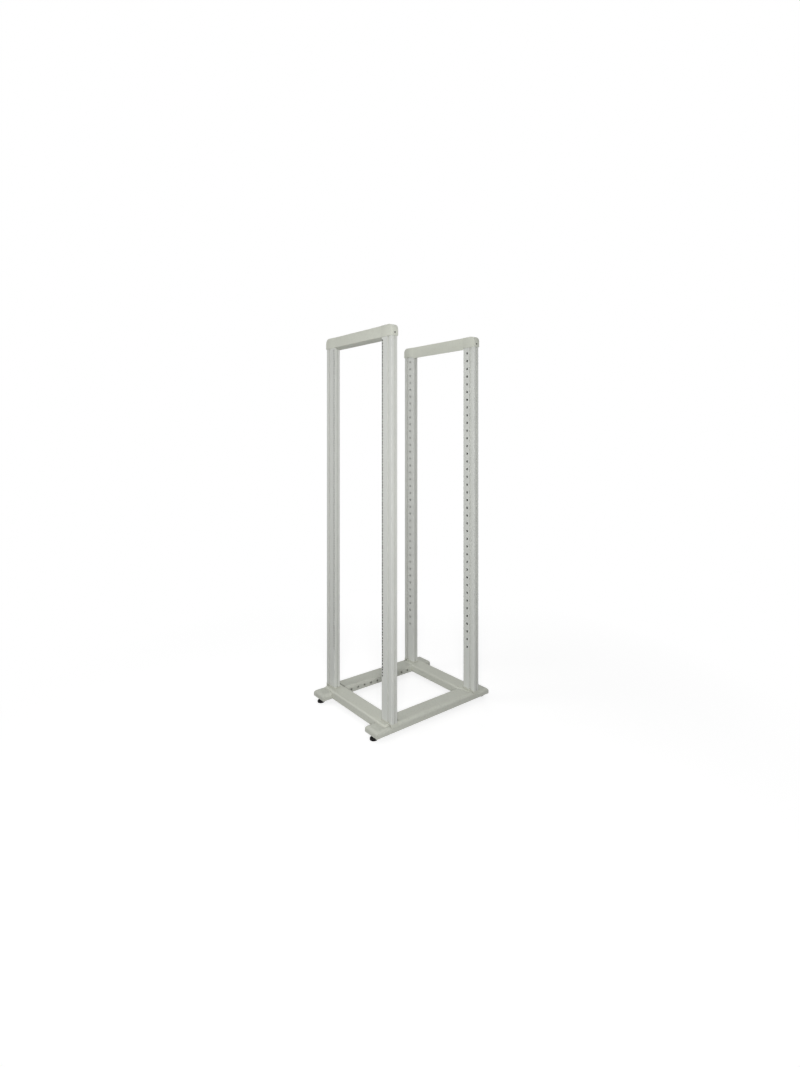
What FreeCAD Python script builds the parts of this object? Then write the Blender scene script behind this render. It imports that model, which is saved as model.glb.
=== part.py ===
import FreeCAD, Part
import os

# Four-post open frame rack: two goal-post frames standing on a base of rails and cross bars.
# Millimetres. X runs across the rack, Y from front to back, Z up from the floor.

# Overall sizes
overall_height = 2090.0
width_over_posts = 624.0
depth_over_posts = 628.0
clear_opening = 450.0

# Base
base_top = 66.0
base_clearance = 24.5
rail_overhang = 89.0
rail_width = 103.0
rail_inset = 5.0
rail_wall = 2.5
rail_edge_radius = 18.0
rail_end_drop = 9.0
rail_hole_size = 11.0
rail_hole_rise = 16.5
rail_hole_pitch = 47.0
rail_hole_count = 10
cross_bar_width = 92.0
cross_bar_wall = 3.0
cross_bar_edge_radius = 10.0
cross_bar_lap = 14.0

# Posts
post_depth = 36.0
post_wall = 2.0
post_corner_bevel = 1.8
face_groove_width = 16.0
face_groove_depth = 6.0
face_groove_offset = 30.0
side_groove_width = 9.0
side_groove_depth = 4.0
post_plate_thickness = 5.0
post_plate_margin = 1.0
post_plate_lip = 14.0

# Mounting holes of the nineteen inch grid
unit_height = 44.45
unit_count = 39
units_drop = 10.0
mounting_hole_spacing = 465.1
mounting_hole_size = 9.5
unit_hole_heights = (6.35, 22.225, 38.1)
inward_hole_inset = 31.0
inward_hole_size = 12.0

# Top bars and corner caps
top_bar_height = 73.0
top_bar_depth = 40.0
top_bar_wall = 2.5
top_bar_low_radius = 17.0
top_bar_top_bevel = 2.0
cap_height = 60.0
cap_depth = 41.0
cap_overhang = 3.5
cap_rise = 1.0
cap_wall = 3.5
cap_corner_radius = 28.0

# Levelling feet
foot_from_end = 17.0
foot_plate_length = 44.0
foot_plate_thickness = 6.0
pad_radius = 20.5
pad_sides = 14
pad_height = 12.0
stud_radius = 5.0
stud_sides = 8
stud_top = 40.0
nut_across_flats = 17.0
nut_height = 8.0

# Places worked out from the sizes above
post_outer = width_over_posts / 2
post_inner = clear_opening / 2
frame_outer = depth_over_posts / 2
frame_middle = frame_outer - post_depth / 2
rail_outer = post_outer - rail_inset
rail_inner = rail_outer - rail_width
rail_middle = (rail_outer + rail_inner) / 2
rail_end = frame_outer + rail_overhang
rail_end_top = base_top - rail_end_drop
cross_bar_outer = frame_middle + cross_bar_width / 2
cross_bar_inner = frame_middle - cross_bar_width / 2
cross_bar_end = rail_outer - rail_edge_radius
lap_height = base_top - cross_bar_lap
post_bottom = base_top + post_plate_thickness
post_top = overall_height - cap_height
units_bottom = post_top - units_drop - unit_count * unit_height
foot_place = rail_end - foot_from_end


def block(x0, x1, y0, y1, z0, z1):
    """A box between two corners, given in any order."""
    size = (abs(x1 - x0), abs(y1 - y0), abs(z1 - z0))
    corner = FreeCAD.Vector(min(x0, x1), min(y0, y1), min(z0, z1))
    return Part.makeBox(size[0], size[1], size[2], corner)


def prism(points, direction):
    """A solid made by moving a closed outline along a direction."""
    corners = [FreeCAD.Vector(*point) for point in points]
    outline = Part.makePolygon(corners + corners[:1])
    return Part.Face(outline).extrude(FreeCAD.Vector(*direction))


def mirrored(shape, across_x, across_y):
    """The shape moved to the left half, the back half or both."""
    result = shape
    if across_x:
        result = result.mirror(FreeCAD.Vector(0, 0, 0), FreeCAD.Vector(1, 0, 0))
    if across_y:
        result = result.mirror(FreeCAD.Vector(0, 0, 0), FreeCAD.Vector(0, 1, 0))
    return result


def long_edges(shape, axis, places):
    """Edges that run along one axis through given places in the other two."""
    found = []
    others = [i for i in range(3) if i != axis]
    for edge in shape.Edges:
        first = edge.Vertexes[0].Point
        last = edge.Vertexes[-1].Point
        straight = all(abs(first[i] - last[i]) < 1e-6 for i in others)
        placed = any(all(abs(first[i] - place[n]) < 1e-6 for n, i in enumerate(others)) for place in places)
        if straight and placed and abs(first[axis] - last[axis]) > 1e-6:
            found.append(edge)
    return found


def upper_edges(solid, top):
    """The edges round the top face of a box."""
    return [edge for edge in solid.Edges if min(vertex.Point.z for vertex in edge.Vertexes) > top - 1e-6]


def inner_bevel(radius, wall):
    """Flat bevel inside a hollow that keeps the wall behind a rounded edge."""
    return 0.8 * (radius - wall)


# Base rail: a closed pressed section with lower ends, cut away on top where the cross bars lie
def rail_boxes(inset):
    """The rail's low full length box and its higher middle, moved inwards by a wall thickness."""
    left = rail_inner + inset
    right = rail_outer - inset
    low = base_clearance + inset
    end = rail_end - inset
    run = frame_middle - inset
    ends = block(left, right, -end, end, low, rail_end_top - inset)
    middle = block(left, right, -run, run, low, base_top - inset)
    return ends, middle


def rail_ridge(middle):
    """The two long upper edges of the rail's middle."""
    top = middle.BoundBox.ZMax
    return long_edges(middle, 1, [(middle.BoundBox.XMin, top), (middle.BoundBox.XMax, top)])


def rail_shell():
    ends, middle = rail_boxes(0)
    ends = ends.makeFillet(rail_edge_radius, upper_edges(ends, rail_end_top))
    middle = middle.makeFillet(rail_edge_radius, rail_ridge(middle))
    return ends.fuse(middle).removeSplitter()


def rail_hollow():
    ends, middle = rail_boxes(rail_wall)
    bevel = inner_bevel(rail_edge_radius, rail_wall)
    ends = ends.makeChamfer(bevel, upper_edges(ends, rail_end_top - rail_wall))
    middle = middle.makeChamfer(bevel, rail_ridge(middle))
    return ends.fuse(middle).removeSplitter()


def base_rail():
    rail = rail_shell().cut(rail_hollow())
    cuts = []
    for side in (-1, 1):
        near = side * cross_bar_inner
        far = side * cross_bar_outer
        cuts.append(block(rail_inner, cross_bar_end, near, far, lap_height, base_top))
        tip = side * (rail_end - rail_wall)
        root = side * (rail_end - rail_wall - foot_plate_length)
        low = base_clearance
        cuts.append(block(rail_inner + rail_wall, rail_outer - rail_wall, root, tip, low, low + rail_wall))
    half = rail_hole_size / 2
    height = base_clearance + rail_hole_rise
    for number in range(rail_hole_count):
        place = (number - (rail_hole_count - 1) / 2) * rail_hole_pitch
        through = rail_inner + rail_wall
        cuts.append(block(rail_inner, through, place - half, place + half, height - half, height + half))
    return rail.cut(Part.makeCompound(cuts))


# Cross bar: a pressed channel with rounded upper edges, open below and lapped over the two rails
def cross_bar():
    low = -cross_bar_outer
    high = -cross_bar_inner
    wall = cross_bar_wall
    end = cross_bar_end - wall
    ceiling = base_top - wall
    bar = block(-cross_bar_end, cross_bar_end, low, high, base_clearance, base_top)
    bar = bar.makeFillet(cross_bar_edge_radius, upper_edges(bar, base_top))
    hollow = block(-end, end, low + wall, high - wall, 0, ceiling)
    hollow = hollow.makeChamfer(inner_bevel(cross_bar_edge_radius, wall), upper_edges(hollow, ceiling))
    cuts = [hollow]
    for side in (-1, 1):
        cuts.append(block(side * rail_inner, side * cross_bar_end, low, high, base_clearance, lap_height))
    return bar.cut(cuts)


# Post: a hollow section with a groove in every face and rows of square mounting holes
def post_outline(inset):
    """Plan outline of the right front post, moved inwards by a wall thickness."""
    front = -frame_outer + inset
    back = -frame_outer + post_depth - inset
    left = post_inner + inset
    right = post_outer - inset
    groove_middle = post_outer - face_groove_offset
    groove_left = groove_middle - face_groove_width / 2 - inset
    groove_right = groove_middle + face_groove_width / 2 + inset
    front_floor = front + face_groove_depth
    back_floor = back - face_groove_depth
    slot_front = -frame_middle - side_groove_width / 2 - inset
    slot_back = -frame_middle + side_groove_width / 2 + inset
    return [
        (left, front), (groove_left, front), (groove_left, front_floor), (groove_right, front_floor),
        (groove_right, front), (right, front), (right, slot_front), (right - side_groove_depth, slot_front),
        (right - side_groove_depth, slot_back), (right, slot_back), (right, back), (groove_right, back),
        (groove_right, back_floor), (groove_left, back_floor), (groove_left, back), (left, back),
        (left, slot_back), (left + side_groove_depth, slot_back), (left + side_groove_depth, slot_front),
        (left, slot_front),
    ]


def post(inward_holes):
    """The right front post, with or without the second row of holes in its inward face."""
    height = post_top - post_bottom
    front = -frame_outer
    back = -frame_outer + post_depth
    outer = prism([(x, y, post_bottom) for x, y in post_outline(0)], (0, 0, height))
    corners = [(x, y) for x in (post_inner, post_outer) for y in (front, back)]
    outer = outer.makeChamfer(post_corner_bevel, long_edges(outer, 2, corners))
    inner = prism([(x, y, post_bottom) for x, y in post_outline(post_wall)], (0, 0, height))
    section = outer.cut(inner)
    half = mounting_hole_size / 2
    row_x = mounting_hole_spacing / 2
    inward_x = post_inner + inward_hole_inset
    inward_half = inward_hole_size / 2
    cuts = []
    for unit in range(unit_count):
        floor = units_bottom + unit * unit_height
        for rise in unit_hole_heights:
            z = floor + rise
            cuts.append(block(row_x - half, row_x + half, front, front + post_wall, z - half, z + half))
        if inward_holes:
            z = floor + unit_height / 2
            left = inward_x - inward_half
            right = inward_x + inward_half
            cuts.append(block(left, right, back - post_wall, back, z - inward_half, z + inward_half))
    return section.cut(Part.makeCompound(cuts))


# Plate under a post, turned down over the outer side of the rail
def post_plate():
    left = post_inner - post_plate_margin
    front = -frame_outer - post_plate_margin
    back = -frame_outer + post_depth + post_plate_margin
    plate = block(left, post_outer, front, back, base_top, post_bottom)
    lip = block(rail_outer, post_outer, front, back, base_top - post_plate_lip, base_top)
    return plate.fuse(lip).removeSplitter()


# Top bar: a tube with rounded lower edges, between two corner caps
def tube_block(inset):
    """The top bar as a plain box, moved inwards by a wall thickness."""
    half = top_bar_depth / 2 - inset
    top = overall_height - cap_rise - inset
    low = overall_height - cap_rise - top_bar_height + inset
    return block(-post_inner, post_inner, -frame_middle - half, -frame_middle + half, low, top)


def tube_edges(tube, height):
    """The two long edges of the top bar at a height."""
    return long_edges(tube, 0, [(tube.BoundBox.YMin, height), (tube.BoundBox.YMax, height)])


def top_bar():
    tube = tube_block(0)
    tube = tube.makeFillet(top_bar_low_radius, tube_edges(tube, tube.BoundBox.ZMin))
    tube = tube.makeChamfer(top_bar_top_bevel, tube_edges(tube, tube.BoundBox.ZMax))
    hollow = tube_block(top_bar_wall)
    bevel = inner_bevel(top_bar_low_radius, top_bar_wall)
    return tube.cut(hollow.makeChamfer(bevel, tube_edges(hollow, hollow.BoundBox.ZMin)))


# Corner cap: a hollow casting with a large outer radius, open towards the top bar
def cap_block(inset):
    """The cap as a plain box with its upper outer edge, moved inwards by a wall thickness."""
    right = post_outer + cap_overhang - inset
    front = -frame_middle - cap_depth / 2 + inset
    back = -frame_middle + cap_depth / 2 - inset
    top = overall_height - inset
    solid = block(post_inner, right, front, back, post_top + inset, top)
    return solid, long_edges(solid, 1, [(right, top)])


def corner_cap():
    cap, edges = cap_block(0)
    hollow, inner_edges = cap_block(cap_wall)
    hollow = hollow.makeChamfer(inner_bevel(cap_corner_radius, cap_wall), inner_edges)
    return cap.makeFillet(cap_corner_radius, edges).cut(hollow)


# Levelling foot: a plate let into the rail's underside, a stud screwed through it, a lock nut and a pad
def foot_prism(radius, sides, low, high):
    """A bar on the foot's axis between two heights, with a regular outline."""
    spoke = FreeCAD.Vector(radius, 0, 0)
    points = []
    for number in range(sides):
        corner = FreeCAD.Rotation(FreeCAD.Vector(0, 0, 1), 360 * number / sides).multVec(spoke)
        points.append((rail_middle + corner.x, -foot_place + corner.y, low))
    return prism(points, (0, 0, high - low))


def foot_plate():
    left = rail_inner + rail_wall
    right = rail_outer - rail_wall
    front = -rail_end + rail_wall
    top = base_clearance + foot_plate_thickness
    plate = block(left, right, front, front + foot_plate_length, base_clearance, top)
    return plate.cut(foot_prism(stud_radius, stud_sides, base_clearance, top))


def lock_nut():
    low = base_clearance - nut_height
    nut = foot_prism(nut_across_flats / 3 ** 0.5, 6, low, base_clearance)
    return nut.cut(foot_prism(stud_radius, stud_sides, low, base_clearance))


def foot_stud():
    return foot_prism(stud_radius, stud_sides, pad_height, stud_top)


def foot_pad():
    return foot_prism(pad_radius, pad_sides, 0, pad_height)


def write(name, shapes):
    """One file for each node."""
    shape = shapes[0] if len(shapes) == 1 else Part.makeCompound(shapes)
    shape.exportStep(os.path.join("parts", name + ".step"))


os.makedirs("parts", exist_ok=True)
sides = (("right", False), ("left", True))
ends = (("front", False), ("rear", True))

rail = base_rail()
for side, across in sides:
    write(side + "_base_rail", [mirrored(rail, across, False)])

bar = cross_bar()
beam = top_bar()
for end, behind in ends:
    write(end + "_cross_bar", [mirrored(bar, False, behind)])
    write(end + "_top_bar", [mirrored(beam, False, behind)])

uprights = {"front": post(False), "rear": post(True)}
plate = post_plate()
cap = corner_cap()
for end, behind in ends:
    for side, across in sides:
        corner = end + "_" + side
        write(corner + "_post", [mirrored(uprights[end], across, behind)])
        write(corner + "_post_plate", [mirrored(plate, across, behind)])
        write(corner + "_corner_cap", [mirrored(cap, across, behind)])

foot_pieces = {
    "foot_plates": foot_plate(),
    "foot_lock_nuts": lock_nut(),
    "foot_studs": foot_stud(),
    "foot_pads": foot_pad(),
}
for end, behind in ends:
    for name, piece in foot_pieces.items():
        write(end + "_" + name, [mirrored(piece, across, behind) for side, across in sides])
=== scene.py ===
# %% [markdown]
# An open frame rack is two goal posts of painted steel on a low base of rails and cross bars.
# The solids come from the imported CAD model. This lesson gives them their finishes, models anew
# the bars, caps and foot hardware whose fine edges the solids leave out, and sets up a plain
# studio round them.

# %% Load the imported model
import math
import bmesh
import bpy
from mathutils import Matrix, Vector


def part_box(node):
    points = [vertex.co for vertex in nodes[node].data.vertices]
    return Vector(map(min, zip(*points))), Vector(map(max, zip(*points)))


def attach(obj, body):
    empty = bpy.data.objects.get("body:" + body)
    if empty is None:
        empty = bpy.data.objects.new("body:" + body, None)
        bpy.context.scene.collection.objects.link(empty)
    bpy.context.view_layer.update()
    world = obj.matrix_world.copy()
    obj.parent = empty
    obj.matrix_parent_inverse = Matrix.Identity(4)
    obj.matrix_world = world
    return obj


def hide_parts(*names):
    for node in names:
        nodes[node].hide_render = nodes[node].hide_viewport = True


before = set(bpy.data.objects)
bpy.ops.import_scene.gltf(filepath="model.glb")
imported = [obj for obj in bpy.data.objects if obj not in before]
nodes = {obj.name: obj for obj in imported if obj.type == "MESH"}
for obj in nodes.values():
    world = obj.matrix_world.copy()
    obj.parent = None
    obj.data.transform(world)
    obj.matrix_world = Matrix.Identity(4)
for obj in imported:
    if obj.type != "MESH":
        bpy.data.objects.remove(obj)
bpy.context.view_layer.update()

# %% [markdown]
# The camera comes first, so that every later step can be judged in the picture. It stands to
# the right of the rack at eye height and looks level, which keeps all uprights parallel. It
# could be tilted down to centre the rack, but then the posts would lean. A little vertical
# shift moves the picture instead, as the rising front of a view camera does.

# %% Camera
looking_level = math.radians(90)
turned_left = math.radians(51.31)
camera_data = bpy.data.cameras.new("Camera")
camera_data.lens = 19.018
camera_data.sensor_width = 36.0
camera_data.shift_y = -0.0924
camera = bpy.data.objects.new("Camera", camera_data)
camera.location = (2.5471, -2.0515, 1.5285)
camera.rotation_euler = (looking_level, 0, turned_left)
bpy.context.scene.collection.objects.link(camera)
bpy.context.scene.camera = camera
bpy.context.scene.view_settings.view_transform = "Standard"
print("camera", tuple(round(v, 3) for v in camera.location), "lens", round(camera_data.lens, 2))


# %% [markdown]
# Every finish below is a small node tree, and each needs the same first steps: a material,
# its shader, and nodes whose values are set by name. A few helpers keep those cells short.
# Colours are written as they look on a screen and turned into the linear values of shaders.

# %% Helpers for node trees
def new_finish(name):
    """A material with its node tree and its shader."""
    material = bpy.data.materials.new(name)
    material.use_nodes = True
    tree = material.node_tree
    return material, tree, tree.nodes["Principled BSDF"]


def add(tree, kind, **settings):
    """One node, with its properties and its input values set by name."""
    node = tree.nodes.new(kind)
    for key, value in settings.items():
        if hasattr(node, key):
            setattr(node, key, value)
        else:
            node.inputs[key.replace("_", " ")].default_value = value
    return node


def linear(red, green, blue):
    """A screen colour from 0 to 255 as the linear colour that shaders use."""
    parts = []
    for value in (red / 255, green / 255, blue / 255):
        parts.append(value / 12.92 if value <= 0.04045 else ((value + 0.055) / 1.055) ** 2.4)
    return (*parts, 1.0)


# %% [markdown]
# Paint, rubber and plating are never one flat shade: colour, gloss and height wander a little.
# Pictures of real surfaces could supply that, but they need unwrapping and repeat themselves.
# A noise over the piece's own coordinates has neither fault, and its size is in real metres.
# These helpers make such a noise and let it drive a colour, a roughness or a bump.

# %% Helpers for uneven surfaces
def own_place(tree):
    """Where a point lies on its piece, in metres."""
    return add(tree, "ShaderNodeTexCoord").outputs["Object"]


def noise(tree, **settings):
    """A noise over the piece, from about zero to one."""
    texture = add(tree, "ShaderNodeTexNoise", **settings)
    tree.links.new(own_place(tree), texture.inputs["Vector"])
    return texture.outputs["Fac"]


def mixed(tree, share, first, second):
    """A colour between two, of which the first may come from another node."""
    mix = add(tree, "ShaderNodeMix", data_type="RGBA")
    tree.links.new(share, mix.inputs["Factor"])
    if isinstance(first, bpy.types.NodeSocket):
        tree.links.new(first, mix.inputs["A"])
    else:
        mix.inputs["A"].default_value = first
    mix.inputs["B"].default_value = second
    return mix.outputs["Result"]


def uneven_gloss(tree, shader, share, glossy, matt):
    """Roughness that wanders between two values."""
    gloss = add(tree, "ShaderNodeMapRange", To_Min=glossy, To_Max=matt)
    tree.links.new(share, gloss.inputs["Value"])
    tree.links.new(gloss.outputs["Result"], shader.inputs["Roughness"])


def uneven_height(tree, shader, height, strength, depth):
    """A bump that is as deep as a real one, in metres."""
    bump = add(tree, "ShaderNodeBump", Strength=strength, Distance=depth)
    tree.links.new(height, bump.inputs["Height"])
    tree.links.new(bump.outputs["Normal"], shader.inputs["Normal"])


# %% [markdown]
# Powder coat is sprayed on dry and baked, and it doesn't reach the inside of a closed section.
# There the steel is bare, and its colour is made darker than bare steel as painted shade, so the
# rows of holes look black. The inside could be painted face by face, but the solids keep one
# finish each. So the material finds it by place: a point is inside where it lies within a box,
# the same box mirrored to every corner. A post takes two boxes, since the slot in its inner
# side leaves only a narrow strip there.

# %% Mask for the bare inside of a section, darkened as painted shade
def inside_box(tree, low, high):
    """One inside the box between two corners, mirrored in X and Y, else zero."""
    low, high = Vector(low), Vector(high)
    folded = add(tree, "ShaderNodeVectorMath", operation="ABSOLUTE")
    offset = add(tree, "ShaderNodeVectorMath", operation="SUBTRACT")
    offset.inputs[1].default_value = (low + high) / 2
    away = add(tree, "ShaderNodeVectorMath", operation="ABSOLUTE")
    beyond = add(tree, "ShaderNodeVectorMath", operation="SUBTRACT")
    beyond.inputs[1].default_value = (high - low) / 2
    split = add(tree, "ShaderNodeSeparateXYZ")
    source = own_place(tree)
    for step in (folded, offset, away, beyond, split):
        tree.links.new(source, step.inputs[0])
        source = step.outputs[0]
    plan = add(tree, "ShaderNodeMath", operation="MAXIMUM")
    space = add(tree, "ShaderNodeMath", operation="MAXIMUM")
    within = add(tree, "ShaderNodeMath", operation="LESS_THAN")
    within.inputs[1].default_value = 0.0
    tree.links.new(split.outputs["X"], plan.inputs[0])
    tree.links.new(split.outputs["Y"], plan.inputs[1])
    tree.links.new(plan.outputs["Value"], space.inputs[0])
    tree.links.new(split.outputs["Z"], space.inputs[1])
    tree.links.new(space.outputs["Value"], within.inputs[0])
    return within.outputs["Value"]


# Lowest and highest corners in metres, in the rear right post and in the right rail.
post_hollows = [
    ((0.2294, 0.2802, 0.072), (0.2730, 0.3118, 2.028)),
    ((0.2265, 0.3028, 0.072), (0.2297, 0.3118, 2.028)),
]
rail_hollows = [((0.2069, -0.4, 0.0272), (0.3041, 0.4, 0.0384))]
print("hollows of a post", len(post_hollows), "and of a rail", len(rail_hollows))


# %% [markdown]
# Dust lies on a rack as faint specks spread over all of it, which a fine noise gives. Grooves
# and corners are darkened as well, as painted shade. It could be painted there by hand, but an
# ambient occlusion node finds the grooves and corners by itself.

# %% Dust and painted corner shade
# Colour of the dust, and of the painted shade in grooves and corners.
dust_and_shade_colour = linear(140, 138, 130)
# Strongest painted shade in grooves and corners, and how far the occlusion looks.
painted_corner_shade = 0.5
corner_reach = 0.015


def dust_and_shade_share(tree, speck_dust):
    """How much of the coat turns dark, the larger of dust specks and painted corner shade."""
    specks = add(tree, "ShaderNodeMapRange", From_Min=0.50, From_Max=0.85, To_Max=speck_dust)
    speck = noise(tree, Scale=90.0, Detail=5.0, Roughness=0.75)
    tree.links.new(speck, specks.inputs["Value"])
    # Painted shade: ambient occlusion darkens grooves, corners and hole rows.
    corner = add(tree, "ShaderNodeAmbientOcclusion", samples=8, Distance=corner_reach)
    corner_shade_share = add(
        tree, "ShaderNodeMapRange", From_Min=0.25, From_Max=0.85, To_Min=painted_corner_shade, To_Max=0.0
    )
    tree.links.new(corner.outputs["AO"], corner_shade_share.inputs["Value"])
    most = add(tree, "ShaderNodeMath", operation="MAXIMUM")
    tree.links.new(specks.outputs["Result"], most.inputs[0])
    tree.links.new(corner_shade_share.outputs["Result"], most.inputs[1])
    return most.outputs["Value"]


# %% [markdown]
# The coat is a warm light grey. The melted powder flows out into a fine orange peel, about a
# millimetre across. It could be modelled, but only a glancing light shows it, so a bump from
# a small noise is enough. A larger noise lets colour and gloss wander a little, as on big
# parts that hang unevenly in the oven. One function makes the coat for each kind of part,
# because the rails near the floor are dustier than the posts, and their tone is set a little
# darker as painted shade.

# %% Powder coat
# Bare steel inside the sections, made darker as painted shade.
bare_steel_and_shade = linear(72, 71, 68)
tone_spread = 4


def powder_coat(name, tone, speck_dust, hollows=()):
    """Baked coat in two close tones, with dust and painted corner shade and, where boxes are given,
    a bare inside darkened as painted shade.
    """
    material, tree, shader = new_finish(name)
    peel = noise(tree, Scale=700.0, Detail=2.0, Roughness=0.5)
    cloud = noise(tree, Scale=7.0, Detail=4.0, Roughness=0.65)
    darker = linear(*(value - tone_spread for value in tone))
    lighter = linear(*(value + tone_spread for value in tone))
    colour = mixed(tree, cloud, darker, lighter)
    # Dust specks and painted shade in grooves and corners darken the coat.
    colour = mixed(tree, dust_and_shade_share(tree, speck_dust), colour, dust_and_shade_colour)
    # Inside the boxes the coat gives way to bare steel darkened as painted shade.
    for low, high in hollows:
        colour = mixed(tree, inside_box(tree, low, high), colour, bare_steel_and_shade)
    tree.links.new(colour, shader.inputs["Base Color"])
    shader.inputs["Specular IOR Level"].default_value = 0.25
    uneven_gloss(tree, shader, cloud, glossy=0.48, matt=0.64)
    uneven_height(tree, shader, peel, strength=0.12, depth=0.0004)
    return material


post_coat = powder_coat("post_powder_coat", (207, 209, 204), speck_dust=0.14, hollows=post_hollows)
# The rails' tone is a little darker than the beams' as painted shade.
rail_coat = powder_coat("rail_powder_coat", (198, 200, 190), speck_dust=0.45, hollows=rail_hollows)
beam_coat = powder_coat("beam_powder_coat", (204, 206, 195), speck_dust=0.30)
print("coats", post_coat.name, rail_coat.name, beam_coat.name)

# %% [markdown]
# The foot pads are black moulded rubber. Rubber is matt, with a fine grain from the mould and
# a faint grey bloom on the grain's high spots. A second noise could give the bloom, but it
# would wander away from the grain, so one noise drives both the shade and the bump.

# %% Rubber
rubber, tree, shader = new_finish("black_rubber")
grain = noise(tree, Scale=900.0, Detail=3.0)
shade = mixed(tree, grain, linear(9, 9, 10), linear(22, 22, 22))
tree.links.new(shade, shader.inputs["Base Color"])
shader.inputs["Roughness"].default_value = 0.8
shader.inputs["Specular IOR Level"].default_value = 0.2
uneven_height(tree, shader, grain, strength=0.25, depth=0.0003)
print("finish", rubber.name)


# %% [markdown]
# Studs and nuts are zinc plated, and the small screws are blackened. Both are metals with a
# cloudy skin, so one function makes them from two shades: the plating crystallises in patches
# that differ in shade and in gloss, which a noise with much detail imitates.

# %% Plated steel
def plated_steel(name, dark, light):
    """Metal whose shade and gloss change in small patches."""
    material, tree, shader = new_finish(name)
    patch = noise(tree, Scale=160.0, Detail=5.0)
    shade = mixed(tree, patch, linear(*dark), linear(*light))
    tree.links.new(shade, shader.inputs["Base Color"])
    shader.inputs["Metallic"].default_value = 1.0
    uneven_gloss(tree, shader, patch, glossy=0.28, matt=0.46)
    return material


zinc = plated_steel("zinc_plate", dark=(172, 175, 181), light=(204, 205, 204))
black_steel = plated_steel("blackened_steel", dark=(40, 40, 42), light=(66, 66, 68))
print("finishes", zinc.name, black_steel.name)

# %% [markdown]
# Most pieces of the rack could be modelled anew, but the shapes of their solids are right. So
# the CAD nodes keep their meshes, and only what sits in their material slots changes. Posts
# and rails have hollows that can be seen into, so they get the coats that know about them.

# %% Finishes onto the CAD nodes
for name, node in sorted(nodes.items()):
    finish = beam_coat
    if name.endswith("_post"):
        finish = post_coat
    elif name.endswith("_base_rail"):
        finish = rail_coat
    for slot in node.material_slots:
        slot.material = finish
print("coated", len(nodes), "nodes")

# %% [markdown]
# New pieces are modelled as bmeshes and then become objects. Each object stays at the origin
# with its place in its mesh, exactly as the CAD nodes do, so that patterns on object
# coordinates carry on from one piece to the next. Round faces are shaded smooth, and edges
# steeper than 35 degrees stay sharp. One helper does these last steps for all.

# %% Helper for finished pieces
sharp_from = math.radians(35)


def finished(mesh, name, material, slot, *stands_for):
    """An object from a bmesh that rides on the rack and takes the place of CAD nodes."""
    bmesh.ops.recalc_face_normals(mesh, faces=mesh.faces)
    data = bpy.data.meshes.new(name)
    mesh.to_mesh(data)
    mesh.free()
    data.materials.append(material)
    data.shade_smooth()
    data.set_sharp_from_angle(angle=sharp_from)
    piece = bpy.data.objects.new(name, data)
    bpy.context.scene.collection.objects.link(piece)
    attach(piece, "root")
    if stands_for:
        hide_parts(*stands_for)
    print(name, len(data.polygons), "faces")


# %% [markdown]
# Bars and caps both begin as a plain block with the outer sizes of their solid, and get their
# soft edges from bevels. A Bevel modifier could round them as well, but it rounds every edge
# alike, and these pieces need a different radius on each kind of edge.

# %% Helpers for blocks with soft edges
hair = 1e-5  # metres within which two places count as one


def corners_of(name):
    """The lowest and highest corners of a CAD node."""
    return [Vector(corner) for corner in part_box(name)]


def block(low, high):
    """A cube stretched to the box between two corners."""
    mesh = bmesh.new()
    bmesh.ops.create_cube(mesh, size=1.0)
    bmesh.ops.scale(mesh, vec=high - low, verts=mesh.verts)
    bmesh.ops.translate(mesh, vec=(low + high) / 2, verts=mesh.verts)
    return mesh


def soften(mesh, edges, radius, segments):
    """Edges rounded by a bevel of some segments."""
    bmesh.ops.bevel(
        mesh, geom=edges, offset=radius, affect="EDGES", segments=segments, profile=0.5, material=-1
    )


# %% [markdown]
# The top bars are pressed from sheet, and their outer side is shorter than their inner one, so
# the underside slopes. Seen from below, it shows as a sharp dark band under the front bar. A
# section could be drawn and extruded, but a block is already there: its two lower long edges
# are lifted, each by its own amount. A small bevel on all long edges stands for the radius of
# the press tool.

# %% Top bars
outer_side_low = 2.0315
inner_side_low = 2.0195
press_radius = 0.0015
for end in ("front", "rear"):
    low, high = corners_of(end + "_top_bar")
    outer_y = low.y if end == "front" else high.y
    bar = block(low, high)
    bottom = [v for v in bar.verts if abs(v.co.z - low.z) < hair]
    outer = [v for v in bottom if abs(v.co.y - outer_y) < hair]
    inner = [v for v in bottom if v not in outer]
    bmesh.ops.translate(bar, vec=(0, 0, outer_side_low - low.z), verts=outer)
    bmesh.ops.translate(bar, vec=(0, 0, inner_side_low - low.z), verts=inner)
    half_length = (high.x - low.x) / 2
    lengthways = [e for e in bar.edges if abs(e.verts[0].co.x - e.verts[1].co.x) > half_length]
    soften(bar, lengthways, press_radius, segments=3)
    finished(bar, end + "_beam", beam_coat, "grey_paint", end + "_top_bar")


# %% [markdown]
# Each goal post is closed at its upper corners by a cap with one large radius, soft edges and
# a sunk screw in its end. A boolean could cut the screw's seat, but it leaves ragged faces.
# Here the seat is inset from the end face and made square, pushed in, and its four corner
# edges are bevelled by nearly half its width, which turns the square into a circle.

# %% Seat for a cap screw
seat_width = 0.010
seat_depth = 0.0026
seat_margin = 0.008
nearly_half = 0.48


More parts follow.
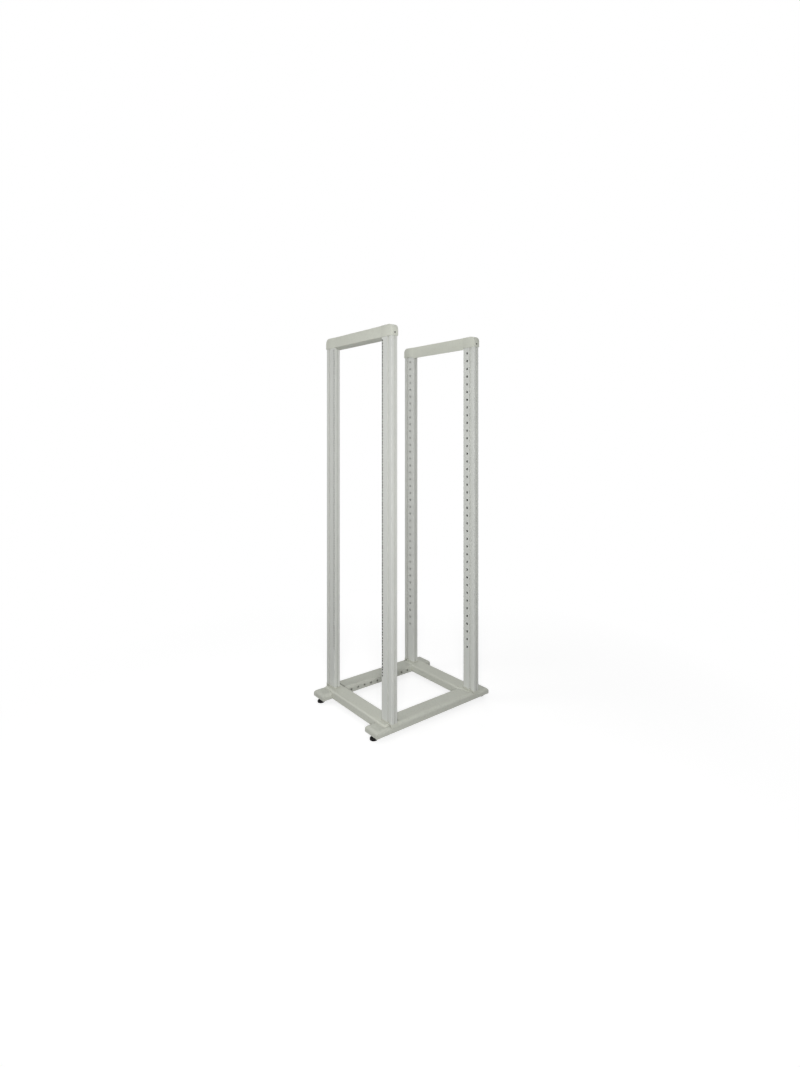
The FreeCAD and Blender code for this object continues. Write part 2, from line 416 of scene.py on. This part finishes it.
def sink_seat(cap, end_face, outward):
    """A round seat sunk into a cap's end face. Gives the middle of the end."""
    bmesh.ops.inset_individual(cap, faces=[end_face], thickness=seat_margin)
    middle = end_face.calc_center_bounds()
    spans = []
    for axis in (1, 2):
        places = [v.co[axis] for v in end_face.verts]
        spans.append(max(places) - min(places))
    square = (1.0, seat_width / spans[0], seat_width / spans[1])
    bmesh.ops.scale(cap, vec=square, space=Matrix.Translation(-middle), verts=end_face.verts)
    seat = bmesh.ops.extrude_discrete_faces(cap, faces=[end_face])["faces"][0]
    bmesh.ops.translate(cap, vec=(-outward * seat_depth, 0, 0), verts=seat.verts)
    walls = [e for v in seat.verts for e in v.link_edges if e not in seat.edges]
    soften(cap, walls, seat_width * nearly_half, segments=6)
    return middle


# %% [markdown]
# The cap itself takes two bevels. The first one turns its upper outer edge into the large
# radius. The second one breaks all edges that are still sharp by then, as on a casting.

# %% Corner caps
cap_radius = 0.028
casting_radius = 0.0016
sharp_edge = 1.0  # radians between its two faces
seats = []
for name in sorted(nodes):
    if not name.endswith("_corner_cap"):
        continue
    low, high = corners_of(name)
    outward = 1.0 if low.x > 0 else -1.0
    end_x = high.x if outward > 0 else low.x
    cap = block(low, high)
    upper_edge = []
    for edge in cap.edges:
        if all(abs(v.co.x - end_x) + abs(v.co.z - high.z) < hair for v in edge.verts):
            upper_edge.append(edge)
    soften(cap, upper_edge, cap_radius, segments=10)
    rim = [e for e in cap.edges if e.calc_face_angle() > sharp_edge]
    soften(cap, rim, casting_radius, segments=3)
    facing_out = [f for f in cap.faces if f.normal.x * outward > 0.99]
    middle = sink_seat(cap, max(facing_out, key=lambda face: face.calc_area()), outward)
    seats.append((Vector((end_x - outward * seat_depth, middle.y, middle.z)), outward))
    finished(cap, name.replace("corner_cap", "cap"), beam_coat, "grey_paint", name)


# %% [markdown]
# The screw in each seat has a low head with a socket. Half a section could be spun for it, but
# a short, slightly tapered cylinder is nearly there. Its upper edge is rounded by a bevel, and
# the socket is inset from the top and pushed down.

# %% One screw head
head_radius = 0.0042
head_taper = 0.94
head_height = 0.0018
head_edge = 0.0008
socket_margin = 0.0013
socket_depth = 0.0011


def top_of(mesh):
    """The highest face."""
    return max(mesh.faces, key=lambda face: face.calc_center_median().z)


def screw_head():
    """A bmesh of one head that stands on the origin."""
    head = bmesh.new()
    bmesh.ops.create_cone(
        head, cap_ends=True, segments=24, depth=head_height,
        radius1=head_radius, radius2=head_radius * head_taper,
    )
    soften(head, list(top_of(head).edges), head_edge, segments=3)
    top = top_of(head)
    bmesh.ops.inset_individual(head, faces=[top], thickness=socket_margin)
    socket = bmesh.ops.extrude_discrete_faces(head, faces=[top])["faces"][0]
    bmesh.ops.translate(head, vec=(0, 0, -socket_depth), verts=socket.verts)
    bmesh.ops.translate(head, vec=(0, 0, head_height / 2), verts=head.verts)
    return head


# %% [markdown]
# Four objects would do for the four screws, but small hardware of one kind can share one mesh.
# Each head is laid on its side, moved to the floor of its seat and added to that mesh.

# %% Cap screws
screws = bmesh.new()
for place, outward in seats:
    head = screw_head()
    lying = Matrix.Rotation(math.radians(90) * outward, 4, "Y")
    bmesh.ops.transform(head, matrix=Matrix.Translation(place) @ lying, verts=head.verts)
    single = bpy.data.meshes.new("screw_head")
    head.to_mesh(single)
    head.free()
    screws.from_mesh(single)
    bpy.data.meshes.remove(single)
finished(screws, "cap_screws", black_steel, "zinc_plate")

# %% [markdown]
# The rack stands on four levelling feet, whose pads, studs and nuts are all round an axis. They
# could start as cylinders, but half a section, drawn as a few points and spun round the axis,
# gives every groove and chamfer at once. First the feet are measured on the CAD pads, which
# stand in pairs at the front and the rear.

# %% Helper for turned pieces
low, high = corners_of("front_foot_pads")
pad_height = high.z - low.z
pad_radius = (high.y - low.y) / 2
foot_x = high.x - pad_radius
foot_y = -(low.y + high.y) / 2
pairs_of_feet = (("front", -foot_y), ("rear", foot_y))
same_point = 1e-6
print("feet at", round(foot_x, 4), round(foot_y, 4), "pads", round(pad_radius * 2, 4), "across")


def turned(mesh, outline, place, steps, rise=0.0):
    """Points of radius and height spun once round an upright axis, climbing by a rise if given."""
    points = []
    for radius, height in outline:
        spot = (place[0] + radius, place[1], height)
        points += bmesh.ops.create_vert(mesh, co=spot)["vert"]
    lines = [mesh.edges.new(pair) for pair in zip(points, points[1:])]
    bmesh.ops.spin(
        mesh, geom=points + lines, cent=(*place, 0.0), axis=(0.0, 0.0, 1.0),
        dvec=(0.0, 0.0, rise / steps), angle=math.tau, steps=steps, use_merge=not rise,
    )
    bmesh.ops.remove_doubles(mesh, verts=mesh.verts, dist=same_point)


# %% [markdown]
# The pads are rubber discs with two shallow grooves round the side, where fingers turn them.
# The outline is given in shares of the CAD pad's radius and height, so it fits any pad.

# %% Foot pads
pad_shares = [
    (0.0, 0.0), (0.90, 0.0), (0.97, 0.03), (1.0, 0.10), (1.0, 0.24), (0.965, 0.28),
    (0.965, 0.34), (1.0, 0.38), (1.0, 0.52), (0.965, 0.56), (0.965, 0.62), (0.995, 0.66),
    (0.97, 0.80), (0.90, 0.93), (0.80, 1.0), (0.0, 1.0),
]
pad_outline = [(r * pad_radius, z * pad_height) for r, z in pad_shares]
for end, y in pairs_of_feet:
    pads = bmesh.new()
    for x in (-foot_x, foot_x):
        turned(pads, pad_outline, (x, y), steps=40)
    finished(pads, end + "_pads", rubber, "black_rubber", end + "_foot_pads")

# %% [markdown]
# The studs are threaded. A bump could imitate the thread, but its teeth show in the outline. A
# thread is a zigzag outline that climbs by one pitch in each turn, so the outline is spun with
# a rise. After a full turn it lands on itself one tooth higher, and merging the doubled points
# closes the spiral into one surface. The two open ends are filled last.

# %% Foot studs
low, high = corners_of("front_foot_studs")
stud_radius = (high.y - low.y) / 2
pitch = 0.0015
tooth_depth = 0.0009
turns = int((high.z - low.z) / pitch) - 1
zigzag = []
for half_turn in range(2 * turns + 1):
    radius = stud_radius - (tooth_depth if half_turn % 2 else 0.0)
    zigzag.append((radius, low.z + half_turn * pitch / 2))
for end, y in pairs_of_feet:
    studs = bmesh.new()
    for x in (-foot_x, foot_x):
        turned(studs, zigzag, (x, y), steps=24, rise=pitch)
    bmesh.ops.holes_fill(studs, edges=[e for e in studs.edges if e.is_boundary], sides=0)
    finished(studs, end + "_studs", zinc, "zinc_plate", end + "_foot_studs")

# %% [markdown]
# A lock nut holds each stud under the rail. A six-sided cylinder would be quick, but a real
# nut is first turned round, with its edges chamfered on the lathe, and then milled to six
# flats. The mesh is made in the same order: the turned ring is spun, and six planes cut the
# flats off it, which leaves the curved edges that every nut shows. Each cut is filled before
# the next, so the nut stays closed.

# %% One lock nut
low, high = corners_of("front_foot_lock_nuts")
flats = 0.017
chamfer = 0.0009
play = 0.0001  # between thread and bore
spare = 0.0003  # beyond the corners, so that the flats meet sharply
bearing_share = 0.48
bore = stud_radius + play
bearing_radius = flats * bearing_share
turned_radius = flats / math.sqrt(3) + spare
nut_outline = [
    (bore, low.z), (bearing_radius, low.z), (turned_radius, low.z + chamfer),
    (turned_radius, high.z - chamfer), (bearing_radius, high.z), (bore, high.z), (bore, low.z),
]
print("lock nut", round(flats, 4), "across flats, bore", round(bore * 2, 4))


def whole(mesh):
    """All parts of a mesh, as operators take them."""
    return mesh.verts[:] + mesh.edges[:] + mesh.faces[:]


def milled_nut():
    """A nut round the upright axis, turned first and then milled to six flats."""
    nut = bmesh.new()
    turned(nut, nut_outline, (0.0, 0.0), steps=48)
    for number in range(6):
        angle = math.radians(60 * number)
        side = Vector((math.cos(angle), math.sin(angle), 0.0))
        cut = bmesh.ops.bisect_plane(
            nut, geom=whole(nut), plane_co=side * flats / 2, plane_no=side, clear_outer=True
        )
        rim = [item for item in cut["geom_cut"] if isinstance(item, bmesh.types.BMEdge)]
        bmesh.ops.edgeloop_fill(nut, edges=rim)
    bmesh.ops.dissolve_degenerate(nut, edges=nut.edges, dist=same_point)
    return nut


# %% [markdown]
# The nuts of a pair are equal, so the second is a duplicate of the first, and both are moved
# from the origin to their studs.

# %% Lock nuts
for end, y in pairs_of_feet:
    nuts = milled_nut()
    first = nuts.verts[:]
    copied = bmesh.ops.duplicate(nuts, geom=whole(nuts))["geom"]
    second = [item for item in copied if isinstance(item, bmesh.types.BMVert)]
    bmesh.ops.translate(nuts, vec=(foot_x, y, 0), verts=first)
    bmesh.ops.translate(nuts, vec=(-foot_x, y, 0), verts=second)
    finished(nuts, end + "_nuts", zinc, "zinc_plate", end + "_foot_lock_nuts")

# %% [markdown]
# The rack stands on a plain sheet that is large enough to have no edge in any picture.

# %% Floor
floor_reach = 30.0
sheet = bmesh.new()
bmesh.ops.create_grid(sheet, x_segments=1, y_segments=1, size=floor_reach)
floor_data = bpy.data.meshes.new("floor")
sheet.to_mesh(floor_data)
sheet.free()
floor = bpy.data.objects.new("floor", floor_data)
bpy.context.scene.collection.objects.link(floor)
print("floor", floor.name, "reaches", floor_reach, "m")


# %% [markdown]
# A studio's surround is white in the picture, and yet it should light the rack only a little.
# Strong lamps on a backdrop could whiten it, but they would spill. In Blender a node tells the
# kinds of rays apart: those that only look, and those that carry light around. Rays off metal
# count as looking, so that plated parts mirror the white too.

# %% Rays that see the surround
def background_rays(tree):
    """One for rays that see the white surround: from the camera, or off metal and glass."""
    path = add(tree, "ShaderNodeLightPath")
    mirror = add(tree, "ShaderNodeMath", operation="MAXIMUM")
    seen = add(tree, "ShaderNodeMath", operation="MAXIMUM")
    tree.links.new(path.outputs["Is Glossy Ray"], mirror.inputs[0])
    tree.links.new(path.outputs["Is Transmission Ray"], mirror.inputs[1])
    tree.links.new(path.outputs["Is Camera Ray"], seen.inputs[0])
    tree.links.new(mirror.outputs["Value"], seen.inputs[1])
    return seen.outputs["Value"]


# %% [markdown]
# A floor that is simply white and brightly lit would throw light up under the rack and flatten
# it. So the rays that look see a floor that glows a little and takes the rack's soft shadow on
# top of that, while light that bounces off it meets a quiet grey. Further out it turns white
# and joins the backdrop.

# %% Floor finish
floor_grey = (0.42, 0.42, 0.42, 1.0)
quiet_grey = (0.22, 0.22, 0.22, 1.0)
pale, tree, shader = new_finish("pale_floor")
shader.inputs["Base Color"].default_value = floor_grey
shader.inputs["Roughness"].default_value = 0.9
shader.inputs["Specular IOR Level"].default_value = 0.1
white = add(tree, "ShaderNodeEmission", Strength=1.0)
glow = add(tree, "ShaderNodeEmission", Strength=0.73)
near = add(tree, "ShaderNodeAddShader")
quiet = add(tree, "ShaderNodeBsdfDiffuse", Color=quiet_grey)
reach = add(tree, "ShaderNodeVectorMath", operation="LENGTH")
share = add(tree, "ShaderNodeMapRange", From_Min=0.8, From_Max=2.2)
shown = add(tree, "ShaderNodeMixShader")
surface = add(tree, "ShaderNodeMixShader")
tree.links.new(own_place(tree), reach.inputs[0])
tree.links.new(reach.outputs["Value"], share.inputs["Value"])
tree.links.new(share.outputs["Result"], shown.inputs["Fac"])
tree.links.new(shader.outputs["BSDF"], near.inputs[0])
tree.links.new(glow.outputs["Emission"], near.inputs[1])
tree.links.new(near.outputs["Shader"], shown.inputs[1])
tree.links.new(white.outputs["Emission"], shown.inputs[2])
tree.links.new(background_rays(tree), surface.inputs["Fac"])
tree.links.new(quiet.outputs["BSDF"], surface.inputs[1])
tree.links.new(shown.outputs["Shader"], surface.inputs[2])
tree.links.new(surface.outputs["Shader"], tree.nodes["Material Output"].inputs["Surface"])
floor_data.materials.append(pale)
print("finish", pale.name)

# %% [markdown]
# The surround is white for the camera and gives a soft even light from all sides. Its light
# is kept low, because an even light alone has no direction and hides the grooves.

# %% World
even_light = 0.255
world = bpy.data.worlds.new("studio")
bpy.context.scene.world = world
world.use_nodes = True
tree = world.node_tree
sky = tree.nodes["Background"]
sky.inputs["Color"].default_value = (1.0, 1.0, 1.0, 1.0)
strength = add(tree, "ShaderNodeMapRange", To_Min=even_light, To_Max=1.0)
tree.links.new(background_rays(tree), strength.inputs["Value"])
tree.links.new(strength.outputs["Result"], sky.inputs["Strength"])
print("world", world.name)


# %% [markdown]
# Four soft boxes do the rest. The main one stands close behind the camera at eye height, so
# its shadows fall behind the posts and the light fades towards the base, as in a room with
# one lamp. A weak one from the front left lifts the fronts. One from behind and a small one
# overhead keep the other sides readable when the rack is turned. The one behind is left out
# of reflections, because it would glare off the base at a low angle.

# %% Lamps
def soft_box(name, place, aim, size, power):
    """A square lamp at a place, turned to a point and left out of the picture."""
    data = bpy.data.lights.new(name, "AREA")
    data.size = size
    data.energy = power
    box = bpy.data.objects.new(name, data)
    box.location = place
    box.rotation_euler = (Vector(aim) - Vector(place)).to_track_quat("-Z", "Y").to_euler()
    box.visible_camera = False
    bpy.context.scene.collection.objects.link(box)
    print(name, power, "W")
    return box


soft_box("main_soft_box", place=(2.75, -2.22, 1.65), aim=(0.0, 0.0, 1.4), size=0.7, power=93.0)
soft_box("front_fill", place=(-1.3, -2.25, 1.8), aim=(0.0, 0.0, 1.2), size=1.2, power=13.5)
back_fill = soft_box(
    "back_fill", place=(-3.0, 2.6, 0.7), aim=(0.0, 0.0, 1.05), size=1.2, power=60.0
)
back_fill.visible_glossy = False
soft_box("top_fill", place=(0.0, 0.0, 3.0), aim=(0.0, 0.0, 0.0), size=0.9, power=4.0)
